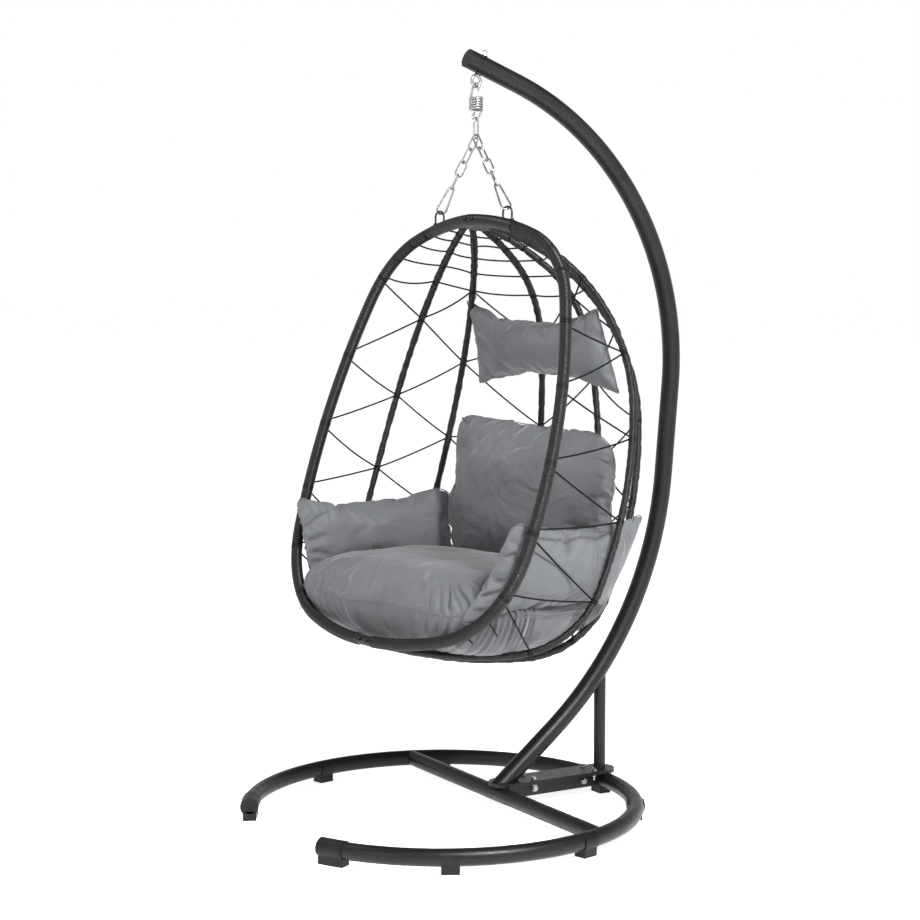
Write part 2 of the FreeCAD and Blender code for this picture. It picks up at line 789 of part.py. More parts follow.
def joint_bolt_lines():
    """Front end of each joint bolt, just ahead of the hoop, and the way it points."""
    top, down, behind = hoop_frame()
    places = []
    for place in (top, top + down * basket_length):
        for side in (-1, 1):
            across = basket_direction(1, 0, 0) * (side * joint_bolt_across)
            places.append(place + across - behind * (hoop_sleeve / 2 + 0.1))
    return places, behind


def make_joint_bolts():
    """Domed bolts that hold the hoop halves to the joint blocks."""
    places, behind = joint_bolt_lines()
    bolts = []
    for place in places:
        head = Part.makeSphere(9.5, place + behind * 4.5).common(half_space(place, behind * -1, 100.0))
        shank = cylinder(4.0, hoop_sleeve + 16.0, place, behind)
        bolts.append(shank.fuse(head))
    return group(bolts)


def drill_joint_holes(shape):
    places, behind = joint_bolt_lines()
    for place in places:
        shape = shape.cut(cylinder(4.1, hoop_sleeve + 24.0, place - behind * 5, behind))
    return shape


# ---------------------------------------------------------------- cord web

def web_lines():
    """The eight tubes that the web is tied to, left to right: path, thickness, and its cord places."""
    lines = []
    angles = (-hoop_angle,) + rib_angles + (hoop_angle,)
    for index, angle in enumerate(angles):
        on_hoop = index in (0, len(angles) - 1)
        edges, start, heading = full_path(angle, hoop_bends if on_hoop else rib_shape(angle))
        thickness = hoop_wrap if on_hoop else rib_wrap
        rows = hoop_row_places if on_hoop else row_places
        if index == 0:
            places = left_hoop_places
        elif index == len(angles) - 1:
            places = right_hoop_places
        else:
            places = odd_places if index % 2 else even_places
        lines.append((edges, thickness, rows, places))
    return lines


def place_along(edges, share):
    """Point and direction at a share of a path's length."""
    left = share * sum(edge.Length for edge in edges)
    for edge in edges:
        if left <= edge.Length:
            parameter = edge.getParameterByLength(left)
            return edge.valueAt(parameter), unit(edge.tangentAt(parameter))
        left -= edge.Length
    return edges[-1].valueAt(edges[-1].LastParameter), unit(edges[-1].tangentAt(edges[-1].LastParameter))


def tie_place(edges, share, thickness):
    """A knot's place and direction on a tube, and how thick the tube is there."""
    point, along = place_along(edges, share)
    reach = share * sum(edge.Length for edge in edges)
    if thickness == hoop_wrap and reach < hoop_sleeve_reach + cord:
        thickness = hoop_sleeve
    return point, along, thickness


def knot_reach(knot, along):
    """How far a strand that leaves a knot along a direction has to start from the tube's middle."""
    place, tube_direction, thickness = knot
    slant = abs(tube_direction.dot(along))
    level = math.sqrt(1 - slant ** 2)
    return (thickness / 2 + cord + 0.4 + cord / 2 * slant) / level


def make_strand(a, b):
    """A tight cord between the knots on two tubes; a knot is (place, tube direction, thickness)."""
    along = unit(b[0] - a[0])
    start = a[0] + along * knot_reach(a, along)
    end = b[0] - along * knot_reach(b, along)
    return rod(start, end, cord)


def make_knot(place, along, thickness):
    """One turn of cord round a wrapped tube."""
    return Part.makeTorus(thickness / 2 + cord / 2 + 0.3, cord / 2, place, along)


def make_cord_web():
    lines = web_lines()
    solids = []
    rows = []
    nodes = []
    for edges, thickness, row_shares, shares in lines:
        rows.append([tie_place(edges, share, thickness) for share in row_shares])
        nodes.append([tie_place(edges, share, thickness) for share in shares])
        solids += [make_knot(*knot) for knot in rows[-1] + nodes[-1]]
    for left, right in zip(rows, rows[1:]):
        solids += [make_strand(a, b) for a, b in zip(left, right)]
    for index in range(len(nodes) - 1):
        even, odd = nodes[index], nodes[index + 1]
        if index % 2:
            even, odd = odd, even
        solids += [make_strand(a, b) for a, b in zip(even, odd)]
        solids += [make_strand(a, b) for a, b in zip(even[1:], odd)]
    for shares in lower_right_ties:
        knots = []
        for (edges, thickness, row_shares, other), share in zip(lines[:-3:-1], shares):
            knots.append(tie_place(edges, share, thickness))
            solids.append(make_knot(*knots[-1]))
        solids.append(make_strand(knots[0], knots[1]))
    return group(solids)


# ---------------------------------------------------------------- cushions

def to_basket(shape, place, lean=0.0):
    """Put a shape drawn about the origin into the basket, leaning back by lean degrees."""
    turn = FreeCAD.Rotation(UP, basket_turn).multiply(FreeCAD.Rotation(ACROSS, -lean))
    shape.Placement = FreeCAD.Placement(in_basket(*place), turn)
    return shape


def soft_box(size, place, lean=0.0):
    """A stuffed cushion, as a box with every edge well rounded."""
    width, depth, height = size
    box = Part.makeBox(width, depth, height, V(-width / 2, -depth / 2, -height / 2))
    radius = depth * 0.42
    return to_basket(box.makeFillet(radius, box.Edges), place, lean)


def make_seat_cushion():
    """Deep seat cushion that fills the bowl of the basket."""
    sections = ((456.0, -110.0, 110.0, 80.0), (500.0, -112.0, 265.0, 148.0),
                (560.0, -98.0, 345.0, 208.0), (610.0, -88.0, 385.0, 226.0), (seat_top, -86.0, 380.0, 220.0))
    wires = []
    for height, back, half_width, half_depth in sections:
        ellipse = Part.Ellipse(V(0, back, height), half_width, half_depth)
        wires.append(Part.Wire(ellipse.toShape()))
    return to_basket(Part.makeLoft(wires, True, False), (0, 0, 0))


def make_arm_cushion(sign):
    """Upright side cushion that follows the basket's wall."""
    middle = seat_top + soft_gap + arm_cushion_height / 2
    front, mid, rear = [V(sign * across, back, middle) for across, back in arm_cushion_line]
    arc = Part.Arc(front, mid, rear).toShape()
    tangent = arc.tangentAt(arc.FirstParameter)
    outline = Part.makeBox(arm_cushion_thickness, 10, arm_cushion_height,
                           V(-arm_cushion_thickness / 2, 0, -arm_cushion_height / 2))
    uprights = [edge for edge in outline.Edges if abs(edge.tangentAt(0).y) > 0.9]
    outline = outline.makeFillet(arm_cushion_thickness * 0.42, uprights)
    face = min(outline.Faces, key=lambda f: f.CenterOfMass.y)
    profile = face.OuterWire
    at_front = FreeCAD.Placement(front, FreeCAD.Rotation(BACK, tangent))
    profile.Placement = at_front.multiply(profile.Placement)
    body = Part.Wire([arc]).makePipeShell([profile], True, False)
    return to_basket(body, (0, 0, 0))


def make_care_label():
    """Small blank sewn-in label that hangs out under the left of the hoop."""
    label = Part.makeBox(12.0, 0.8, 26.0)
    return to_basket(label, (-372.0, -292.0, 500.0))


# ---------------------------------------------------------------- write everything

def main():
    os.makedirs("parts", exist_ok=True)
    save("base_ring", make_base_ring())
    save("ring_end_cap_right", make_end_cap(1))
    save("ring_end_cap_left", make_end_cap(-1))
    save("foot_clips_right", group(make_clip(a) for a in right_clip_angles))
    save("foot_clips_left", group(make_clip(a) for a in left_clip_angles))
    save("foot_clip_rear", make_clip(0.0))
    save("crossbar", make_crossbar())
    save("rear_beam", make_rear_beam())
    save("foot_plate_lower", foot_plate(plate_bottom))
    save("foot_plate_upper", foot_plate(plate_bottom + plate_thickness))
    save("foot_bolts", make_foot_bolts())
    save("foot_nuts", make_foot_nuts())
    save("beam_bolts", make_beam_bolts())
    upper, lower, spigot = make_arm()
    save("arm_upper", upper)
    save("arm_lower", lower)
    save("arm_spigot", spigot)
    save("arm_end_plug", make_arm_plug())
    save("arm_brace", make_brace())
    save("eye_bolt", make_eye_bolt())
    save("eye_bolt_nut", make_eye_nut())
    save("eye_bolt_grommet", make_grommet())
    coil, low_hook = make_spring()
    save("spring_coil", coil)
    save("spring_bottom_hook", low_hook)
    high, low = top_snap_ends()
    body, gate = make_snap(high, low, top_snap_radius, top_snap_radius, top_snap_roll, 0.1, 0.8)
    save("top_carabiner", body)
    save("top_carabiner_gate", gate)
    for side, sign in (("left", -1), ("right", 1)):
        links, body, gate = make_chain(sign)
        for number, link in enumerate(links, 1):
            save("chain_" + side + "_link_" + str(number), link)
        save("carabiner_" + side, body)
        save("carabiner_" + side + "_gate", gate)
    save("hanging_eye_left", make_hanging_eye(-1, eye_loop_rolls[0]))
    save("hanging_eye_right", make_hanging_eye(1, eye_loop_rolls[1]))
    for side, sign in (("left", -1), ("right", 1)):
        tube, wrap = make_hoop_half(sign)
        save("hoop_" + side, tube)
        save("hoop_wrap_" + side, wrap)
    wraps = []
    for number, angle in enumerate(rib_angles, 1):
        rib, wrap = make_rib(angle)
        save("rib_" + str(number), rib)
        wraps.append(wrap)
    save("rib_wraps", group(wraps))
    save("top_joint", make_joint(True))
    save("bottom_joint", make_joint(False))
    save("joint_bolts", make_joint_bolts())
    save("cord_web", make_cord_web())
    save("seat_cushion", make_seat_cushion())
    save("arm_cushion_left", make_arm_cushion(-1))
    save("arm_cushion_right", make_arm_cushion(1))
    save("back_cushion", soft_box(back_cushion_size, back_cushion_place, 4.0))
    save("head_pillow", soft_box(pillow_size, pillow_place))
    save("care_label", make_care_label())


main()
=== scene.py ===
import json
import math
import random

import bpy
import numpy as np
from mathutils import Matrix, Vector, noise


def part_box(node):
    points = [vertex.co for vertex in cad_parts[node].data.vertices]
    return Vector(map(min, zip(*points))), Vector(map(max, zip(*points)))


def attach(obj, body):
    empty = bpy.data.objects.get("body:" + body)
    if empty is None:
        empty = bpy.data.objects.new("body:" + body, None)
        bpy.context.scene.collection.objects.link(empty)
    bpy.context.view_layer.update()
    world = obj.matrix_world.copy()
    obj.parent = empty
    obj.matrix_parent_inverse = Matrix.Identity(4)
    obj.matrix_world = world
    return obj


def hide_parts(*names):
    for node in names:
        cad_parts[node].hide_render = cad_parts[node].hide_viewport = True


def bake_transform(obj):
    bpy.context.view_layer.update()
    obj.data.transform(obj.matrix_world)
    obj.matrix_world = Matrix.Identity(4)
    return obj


# Hanging egg chair. Metres, in the CAD row's frame. Basket places are given as (across, back, height):
# across and back are measured from the hanging line, in the basket's own turned frame.

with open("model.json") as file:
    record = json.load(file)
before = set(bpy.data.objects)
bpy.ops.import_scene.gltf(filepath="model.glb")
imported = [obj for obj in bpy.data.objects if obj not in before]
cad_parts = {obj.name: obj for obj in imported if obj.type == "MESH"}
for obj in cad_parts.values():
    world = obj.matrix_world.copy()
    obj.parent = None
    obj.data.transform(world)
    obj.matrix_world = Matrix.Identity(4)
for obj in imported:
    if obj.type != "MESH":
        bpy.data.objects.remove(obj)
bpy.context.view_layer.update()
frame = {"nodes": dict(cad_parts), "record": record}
random.seed(7)

UP = Vector((0, 0, 1))

# ---------------------------------------------------------------- the basket's own frame

HANG = Vector((0.0, -0.039, 0.0))
TURN = math.radians(9.5)
LEAN = math.radians(18.1)
LENGTH = 1.093
TOP_PLACE = (0.0, -0.018, 1.528)
HOOP_ANGLE = 84.6
RIB_ANGLES = (-60.6, -42.6, -12.6, 12.6, 42.6, 60.6)
HOOP_BENDS = ((0.668, 19.7), (0.257, 50.6), (1.397, 26.4), (0.272, 67.0))
SIDE_BENDS = ((0.560, 19.0), (0.541, 58.0), (1.180, 21.0), (0.240, 64.3))
BACK_BENDS = ((0.726, 19.7), (0.324, 43.9), (1.530, 22.5), (0.245, 72.9))
HOOP_TUBE = 0.0125
RIB_TUBE = 0.0065


def direction(across, back, up):
    """A direction given in the basket's turned frame."""
    return Matrix.Rotation(TURN, 3, "Z") @ Vector((across, back, up))


def place(across, back, height):
    """A point given in the basket's turned frame."""
    return HANG + direction(across, back, height)


TOP = place(*TOP_PLACE)
DOWN = direction(0, -math.sin(LEAN), -math.cos(LEAN))
BEHIND = direction(0, math.cos(LEAN), -math.sin(LEAN))
BOTTOM = TOP + DOWN * LENGTH


class Path:
    """A tube's middle line: bends one after another, and a last one that ends at the bottom joint."""

    def __init__(self, angle, bends):
        a = math.radians(angle)
        self.out = (direction(1, 0, 0) * math.sin(a) + BEHIND * math.cos(a)).normalized()
        self.normal = self.out.cross(DOWN)
        self.arcs = []
        start, heading, side = TOP.copy(), self.out.copy(), DOWN.copy()
        for radius, degrees in bends:
            sweep = math.radians(degrees)
            self.arcs.append((start, heading, side, radius, sweep))
            start, heading, side = self.arc_end(self.arcs[-1])
        chord = BOTTOM - start
        along = chord.dot(heading)
        aside = chord - heading * along
        side = aside.normalized()
        radius = chord.length ** 2 / (2 * aside.length)
        self.arcs.append((start, heading, side, radius, 2 * math.atan2(aside.length, along)))
        self.length = sum(arc[3] * arc[4] for arc in self.arcs)

    @staticmethod
    def on_arc(arc, angle):
        start, heading, side, radius, sweep = arc
        centre = start + side * radius
        point = centre - side * (radius * math.cos(angle)) + heading * (radius * math.sin(angle))
        return point, heading * math.cos(angle) + side * math.sin(angle)

    @classmethod
    def arc_end(cls, arc):
        start, heading, side, radius, sweep = arc
        point, turned = cls.on_arc(arc, sweep)
        return point, turned, side * math.cos(sweep) - heading * math.sin(sweep)

    def at(self, distance):
        """Point and direction at a distance from the top."""
        for arc in self.arcs:
            length = arc[3] * arc[4]
            if distance <= length:
                return self.on_arc(arc, distance / arc[3])
            distance -= length
        return self.on_arc(self.arcs[-1], self.arcs[-1][4])

    def joint_reach(self, keep_out, from_end):
        """Distance from one end at which the path is keep_out away from the basket's long axis."""
        steps = 400
        furthest = keep_out * 2.5
        for i in range(1, steps):
            distance = furthest * i / steps
            point, _ = self.at(self.length - distance if from_end else distance)
            off = point - TOP
            if (off - DOWN * off.dot(DOWN)).length >= keep_out:
                return distance
        return keep_out


HOOPS = [Path(-HOOP_ANGLE, HOOP_BENDS), Path(HOOP_ANGLE, HOOP_BENDS)]
RIBS = [Path(a, BACK_BENDS if abs(a) < 20 else SIDE_BENDS) for a in RIB_ANGLES]

# ---------------------------------------------------------------- materials


class Nodes:
    """Short way to build a material's node tree."""

    def __init__(self, name):
        self.material = bpy.data.materials.new(name)
        self.material.use_nodes = True
        self.tree = self.material.node_tree
        self.shader = self.tree.nodes["Principled BSDF"]
        self.coords = self.tree.nodes.new("ShaderNodeTexCoord").outputs["Object"]

    def add(self, kind, inputs=(), **settings):
        node = self.tree.nodes.new("ShaderNode" + kind)
        for key, value in settings.items():
            setattr(node, key, value)
        for key, value in dict(inputs).items():
            self.put(node, key, value)
        return node

    def put(self, node, key, value):
        if isinstance(value, bpy.types.NodeSocket):
            self.tree.links.new(value, node.inputs[key])
        else:
            node.inputs[key].default_value = value

    def noise(self, scale, detail=2.0, rough=0.5, coords=None):
        node = self.add("TexNoise", {"Vector": coords or self.coords, "Scale": scale, "Detail": detail,
                                     "Roughness": rough})
        return node.outputs["Fac"]

    def ramp(self, value, stops):
        node = self.add("ValToRGB", {"Fac": value})
        elements = node.color_ramp.elements
        while len(elements) < len(stops):
            elements.new(0.5)
        for element, (position, colour) in zip(elements, stops):
            element.position = position
            element.color = (*colour, 1.0) if isinstance(colour, tuple) else (colour, colour, colour, 1.0)
        return node.outputs["Color"]

    def math(self, operation, a, b):
        node = self.add("Math", {0: a, 1: b}, operation=operation)
        return node.outputs[0]

    def bump(self, height, strength, distance, normal=None):
        inputs = {"Height": height, "Strength": strength, "Distance": distance}
        if normal:
            inputs["Normal"] = normal
        return self.add("Bump", inputs).outputs["Normal"]

    def finish(self, **inputs):
        names = {"colour": "Base Color", "rough": "Roughness", "metal": "Metallic", "normal": "Normal",
                 "sheen": "Sheen Weight", "sheen_rough": "Sheen Roughness", "coat": "Coat Weight",
                 "coat_rough": "Coat Roughness", "specular": "Specular IOR Level"}
        for key, value in inputs.items():
            self.put(self.shader, names[key], value)
        return self.material


def grey(level, tint=0.0):
    return (level * (1 - tint), level, level * (1 + tint))


def powder_coat():
    n = Nodes("powder_coat")
    tone = n.ramp(n.noise(9.0, 4.0), [(0.3, grey(0.0045, 0.05)), (0.7, grey(0.0080, 0.05))])
    rough = n.ramp(n.noise(60.0, 5.0), [(0.3, 0.34), (0.75, 0.46)])
    orange_peel = n.bump(n.noise(650.0, 2.0), 0.20, 0.0004)
    waves = n.bump(n.noise(45.0, 2.0), 0.12, 0.0008, orange_peel)
    return n.finish(colour=tone, rough=rough, normal=waves, specular=0.32)


def zinc(name, dark, bright, rough_low, rough_high):
    n = Nodes(name)
    tone = n.ramp(n.noise(140.0, 5.0, 0.65), [(0.25, grey(dark, 0.02)), (0.75, grey(bright, 0.02))])
    rough = n.ramp(n.noise(90.0, 4.0), [(0.3, rough_low), (0.8, rough_high)])
    scratches = n.add("Mapping", {"Vector": n.coords, "Scale": (400.0, 400.0, 2500.0)}).outputs["Vector"]
    fine = n.bump(n.noise(1.0, 3.0, 0.6, scratches), 0.10, 0.0002)
    return n.finish(colour=tone, rough=rough, metal=1.0, normal=fine)


def moulded():
    n = Nodes("moulded_plastic")
    tone = n.ramp(n.noise(30.0, 3.0), [(0.3, 0.006), (0.7, 0.011)])
    rough = n.ramp(n.noise(120.0, 4.0), [(0.3, 0.42), (0.7, 0.58)])
    grain = n.bump(n.noise(1400.0, 2.0), 0.35, 0.0003)
    return n.finish(colour=tone, rough=rough, normal=grain, specular=0.25)


def rattan(name, low, high, rough_low, rough_high, specular):
    n = Nodes(name)
    tone = n.ramp(n.noise(70.0, 4.0, 0.6), [(0.3, grey(low, 0.06)), (0.75, grey(high, 0.06))])
    rough = n.ramp(n.noise(220.0, 3.0), [(0.3, rough_low), (0.8, rough_high)])
    streaks = n.bump(n.noise(900.0, 3.0, 0.6), 0.25, 0.0003)
    return n.finish(colour=tone, rough=rough, normal=streaks, specular=specular)


def woven(name, low, high, thread):
    """Plain-weave cloth: threads both ways at the given spacing, with soft tone changes."""
    n = Nodes(name)
    shade = n.ramp(n.noise(5.0, 3.0, 0.5), [(0.3, low), (0.7, high)])
    fleck = n.ramp(n.noise(1100.0, 2.0, 0.7), [(0.3, 0.93), (0.7, 1.05)])
    tone = n.add("MixRGB", {"Fac": 1.0, "Color1": shade, "Color2": fleck}, blend_type="MULTIPLY")
    height = None
    for axis in ("X", "Y", "Z"):
        wave = n.add("TexWave", {"Vector": n.coords, "Scale": 1.0 / thread * 0.05, "Distortion": 0.6,
                                 "Detail": 1.0, "Detail Scale": 2.0},
                     wave_type="BANDS", bands_direction=axis, wave_profile="SIN").outputs["Fac"]
        height = wave if height is None else n.math("MULTIPLY", height, n.math("ADD", wave, 0.6))
    weave = n.bump(height, 0.22, 0.0003)
    creases = n.bump(n.noise(34.0, 3.0, 0.5), 0.16, 0.005, weave)
    folded = n.add("TexNoise", {"Vector": n.coords, "Scale": 9.0, "Detail": 3.0, "Roughness": 0.45,
                                "Distortion": 1.3}).outputs["Fac"]
    creases = n.bump(folded, 0.6, 0.018, creases)
    rough = n.ramp(n.noise(25.0, 3.0), [(0.3, 0.62), (0.75, 0.76)])
    return n.finish(colour=tone.outputs[0], rough=rough, normal=creases, sheen=0.25, sheen_rough=0.45,
                    specular=0.35)


def rubber():
    n = Nodes("rubber")
    tone = n.ramp(n.noise(80.0, 3.0), [(0.3, 0.012), (0.7, 0.02)])
    return n.finish(colour=tone, rough=0.7, normal=n.bump(n.noise(1200.0), 0.2, 0.0002), specular=0.3)


CLOTH_LOW, CLOTH_HIGH = (0.092, 0.096, 0.103), (0.118, 0.123, 0.131)
MATERIALS = {
    "frame_paint": powder_coat(),
    "black_plastic": moulded(),
    "zinc_steel": zinc("zinc_plate", 0.26, 0.52, 0.24, 0.38),
    "chain_steel": zinc("zinc_chain", 0.24, 0.46, 0.28, 0.42),
    "rattan_wrap": rattan("round_rattan", 0.0040, 0.0085, 0.34, 0.50, 0.32),
    "web_cord": rattan("rattan_cord", 0.0025, 0.005, 0.48, 0.62, 0.15),
    "cushion_fabric": woven("grey_polyester", CLOTH_LOW, CLOTH_HIGH, 0.0009),
    "label_cloth": woven("white_label", (0.72, 0.72, 0.70), (0.8, 0.8, 0.78), 0.0006),
    "rubber": rubber(),
}

SLOT_OF = {part["node"]: part["material_slot"] for part in frame["record"]["subparts"]}
for node_name, node_object in frame["nodes"].items():
    node_object.data.materials.clear()
    node_object.data.materials.append(MATERIALS[SLOT_OF[node_name]])

# ---------------------------------------------------------------- making pieces


def new_piece(name, vertices, faces, slot, body="basket", smooth=True):
    """A mesh piece that rides on a body and takes the finish of one slot."""
    mesh = bpy.data.meshes.new(name)
    mesh.from_pydata([tuple(v) for v in vertices], [], faces)
    mesh.validate()
    mesh.update()
    mesh.materials.append(MATERIALS[slot])
    mesh.polygons.foreach_set("use_smooth", [smooth] * len(mesh.polygons))
    piece = bpy.data.objects.new(name, mesh)
    bpy.context.scene.collection.objects.link(piece)
    declare(piece, body)
    return piece


def declare(piece, body="basket"):
    if body:
        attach(piece, body)


def ring_tube(rings, sides):
    """Faces of a closed tube of rings, each with the same number of sides."""
    faces = []
    for i in range(rings - 1):
        for k in range(sides):
            nxt = (k + 1) % sides
            faces.append((i * sides + k, i * sides + nxt, (i + 1) * sides + nxt, (i + 1) * sides + k))
    faces.append(tuple(reversed(range(sides))))
    faces.append(tuple((rings - 1) * sides + k for k in range(sides)))
    return faces


def ridge(fraction):
    """Height of a round strand across its width, 0 to 1."""
    return math.sqrt(max(0.0, 1.0 - (2.0 * fraction - 1.0) ** 2))


STRAND_RISE = 0.50
LUMP_LENGTH = 0.015


def wound(path, begin, end, core, strand, sides, samples, helical=True, lump=0.0, seed=0):
    """Vertices and faces of round strand wound side by side on a tube, from begin to end along its path.
    Samples is the number of rings for each turn of strand, and lump is how uneven the winding is."""
    rings = int(round((end - begin) / strand * samples)) + 1
    vertices = []
    for i in range(rings):
        s = begin + (end - begin) * i / (rings - 1)
        point, along = path.at(s)
        other = along.cross(path.normal)
        lump_spot = Vector((s / LUMP_LENGTH, seed * 7.3, 0.0))
        swell = lump * noise.noise(lump_spot)
        for k in range(sides):
            angle = 2 * math.pi * k / sides
            turn = k / sides if helical else 0.0
            around = Vector((0.0, 2 * math.cos(angle), 2 * math.sin(angle)))
            bulge = lump * 0.7 * noise.noise(lump_spot + around)
            fraction = ((s - begin) / strand + turn) % 1.0
            radius = core + strand * STRAND_RISE * ridge(fraction) + swell + bulge
            if i in (0, rings - 1):
                radius = core
            vertices.append(point + (path.normal * math.cos(angle) + other * math.sin(angle)) * radius)
    return vertices, ring_tube(rings, sides)


def joined(parts):
    """Several (vertices, faces) as one."""
    vertices, faces = [], []
    for some, theirs in parts:
        base = len(vertices)
        vertices += some
        faces += [tuple(base + i for i in face) for face in theirs]
    return vertices, faces


# ---------------------------------------------------------------- spring

# The coil stretches between the eye bolt's side and the lower hook's side.
cad_coil = frame["nodes"]["spring_coil"]
coil_vertices = [cad_coil.matrix_world @ vertex.co for vertex in cad_coil.data.vertices]
coil_faces = [tuple(face.vertices) for face in cad_coil.data.polygons]
coil = new_piece("spring_coil_wire", coil_vertices, coil_faces, SLOT_OF["spring_coil"], None)
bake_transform(coil)
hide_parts("spring_coil")

# ---------------------------------------------------------------- rattan wound on the hoop and ribs

SLEEVE_REACH = 0.160
JOINT_KEEP_OUT = 0.0585
HOOP_END_GAP = 0.028
HOOP_STRAND = 0.0049
RIB_STRAND = 0.0056
RIB_LUMP = 0.0016
for side_name, path in zip(("left", "right"), HOOPS):
    shape = wound(path, SLEEVE_REACH, path.length - HOOP_END_GAP, HOOP_TUBE, HOOP_STRAND, sides=22, samples=6)
    piece = new_piece("hoop_winding_" + side_name, *shape, "rattan_wrap")
    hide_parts("hoop_wrap_" + side_name)

rib_parts = []
for index, path in enumerate(RIBS):
    begin = path.joint_reach(JOINT_KEEP_OUT, False)
    end = path.length - path.joint_reach(JOINT_KEEP_OUT, True)
    rib_parts.append(wound(path, begin, end, RIB_TUBE, RIB_STRAND, sides=16, samples=5,
                           lump=RIB_LUMP, seed=index + 1))
rib_winding = new_piece("rib_winding", *joined(rib_parts), "rattan_wrap")
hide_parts("rib_wraps")

# ---------------------------------------------------------------- cord web

CORD = 0.0045
ROWS = (0.063, 0.090, 0.121, 0.155, 0.190)
HOOP_ROWS = (0.0797, 0.110, 0.148, 0.189, 0.232)
EVEN = (0.190, 0.315, 0.433, 0.545, 0.655, 0.765)
ODD = (0.262, 0.390, 0.505, 0.610, 0.715)
LEFT_HOOP = (0.232, 0.369, 0.486, 0.591, 0.690, 0.780)
RIGHT_HOOP = (0.312, 0.410, 0.520, 0.620, 0.717)
HOOP_OUTER = 0.0155
RIB_OUTER = 0.0098
HOOP_PAIR = 0.009
KNOT_SINK = 0.0026
STRAND_STEPS = 14
LOWER_RIGHT_TIES = ((0.759, 0.80), (0.805, 0.83))
TAILS = ((0.365, -0.030), (0.372, 0.034), (0.483, 0.022))

# The tubes that the web is tied to, left to right. Odd places on one of them are even on the next.
LINES = [HOOPS[0]] + RIBS + [HOOPS[1]]
LAST = len(LINES) - 1
strands = []
knot_parts = []


def line_outer(index):
    return HOOP_OUTER if index in (0, LAST) else RIB_OUTER


def tie(index, share, turns=3):
    """Turns of cord round a tube at a knot."""
    path = LINES[index]
    middle = share * path.length
    half = turns * CORD / 2
    knot_parts.append(wound(path, middle - half, middle + half, line_outer(index) - KNOT_SINK, CORD,
                            sides=16, samples=6, helical=False))


def strand(index_a, share_a, index_b, share_b, sag, shift_a=0.0, shift_b=0.0):
    """A cord between two knots that sags a little under its own weight and stiffness."""
    ends = []
    for index, share, shift in ((index_a, share_a, shift_a), (index_b, share_b, shift_b)):
        path = LINES[index]
        ends.append(path.at(share * path.length + shift)[0])
    a, b = ends
    along = (b - a).normalized()
    a = a + along * line_outer(index_a) * 0.8
    b = b - along * line_outer(index_b) * 0.8
    span = (b - a).length
    centre = (a + b) / 2
    inward = (TOP + DOWN * LENGTH * 0.5 - centre).normalized()
    wander = random.uniform(-0.004, 0.004)
    skew = random.uniform(-0.12, 0.12)
    points = []
    for i in range(STRAND_STEPS + 1):
        t = i / STRAND_STEPS
        bow = 4 * t * (1 - t) * (1 + skew * (2 * t - 1) * 2)
        points.append(a.lerp(b, t) - UP * (sag * span * bow) + inward * (wander * bow))
    strands.append(points)


def rows_on(index):
    return HOOP_ROWS if index in (0, LAST) else ROWS


for index in range(len(LINES)):
    for row in rows_on(index):
        tie(index, row, 2)
for index in range(LAST):
    slack = (0.05, 0.08) if index in (0, LAST - 1) else (0.0, 0.03)
    for row_a, row_b in zip(rows_on(index), rows_on(index + 1)):
        strand(index, row_a, index + 1, row_b, random.uniform(*slack))


def knots_on(index):
    if index == 0:
        return LEFT_HOOP
    if index == LAST:
        return RIGHT_HOOP
    return ODD if index % 2 else EVEN


for index in range(len(LINES)):
    for share in knots_on(index):
        tie(index, share)
for index in range(LAST):
    even, odd = (index, index + 1) if index % 2 == 0 else (index + 1, index)
    up_even = HOOP_PAIR if even == 0 else 0.0
    up_odd = HOOP_PAIR if odd == LAST else 0.0
    for a, b in zip(knots_on(even), knots_on(odd)):
        strand(even, a, odd, b, random.uniform(0.012, 0.045), up_even, -up_odd)
    for a, b in zip(knots_on(even)[1:], knots_on(odd)):
        strand(even, a, odd, b, random.uniform(0.0, 0.02), -up_even, up_odd)
for hoop_share, rib_share in LOWER_RIGHT_TIES:
    strand(LAST, hoop_share, LAST - 1, rib_share, -0.05)


def cord_curve(name, runs, depth, slot):
    """Round cords through lists of points, as one piece."""
    curve = bpy.data.curves.new(name, "CURVE")
    curve.dimensions = "3D"
    curve.bevel_depth = depth
    curve.bevel_resolution = 3
    curve.use_fill_caps = True
    for points in runs:
        spline = curve.splines.new("POLY")
        spline.points.add(len(points) - 1)
        for target, point in zip(spline.points, points):
            target.co = (*point, 1.0)
        spline.use_smooth = True
    curve.materials.append(MATERIALS[slot])
    piece = bpy.data.objects.new(name, curve)
    bpy.context.scene.collection.objects.link(piece)
    declare(piece)
    return piece


# Loose ends of cord that stand off the left hoop
tail_path = HOOPS[0]
for share, drop in TAILS:
    point, along = tail_path.at(share * tail_path.length)
    out = tail_path.out
    start = point + out * (HOOP_OUTER + 0.001)
    strands.append([start, start + out * 0.004 + along * drop * 0.4, start + out * 0.007 + along * drop])

web = cord_curve("web_cords", strands, CORD / 2, "web_cord")
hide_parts("cord_web")
knots = new_piece("web_knots", *joined(knot_parts), "web_cord")

# ---------------------------------------------------------------- stuffed cushions

SIM_FRAMES = 26
PRESSURE = 5.0
SEAM_RADIUS = 0.0015
FOLD_DEPTH = 2.0
MOST_PRESSED = 0.75
# Sim edges are smoothed over five neighbours before they are straightened.
NEIGHBOUR_WEIGHTS = np.array([1.0, 2.0, 3.0, 2.0, 1.0]) / 9.0


def rounded_corner(x, y, half_u, half_v, corner):
    """A point on a rectangle's edge, moved in to a rounded corner."""
    over_x = abs(x) - (half_u - corner)
    over_y = abs(y) - (half_v - corner)
    if over_x <= 0 or over_y <= 0:
        return x, y
    shrink = corner / math.hypot(over_x, over_y)
    return (math.copysign(half_u - corner + over_x * shrink, x),
            math.copysign(half_v - corner + over_y * shrink, y))


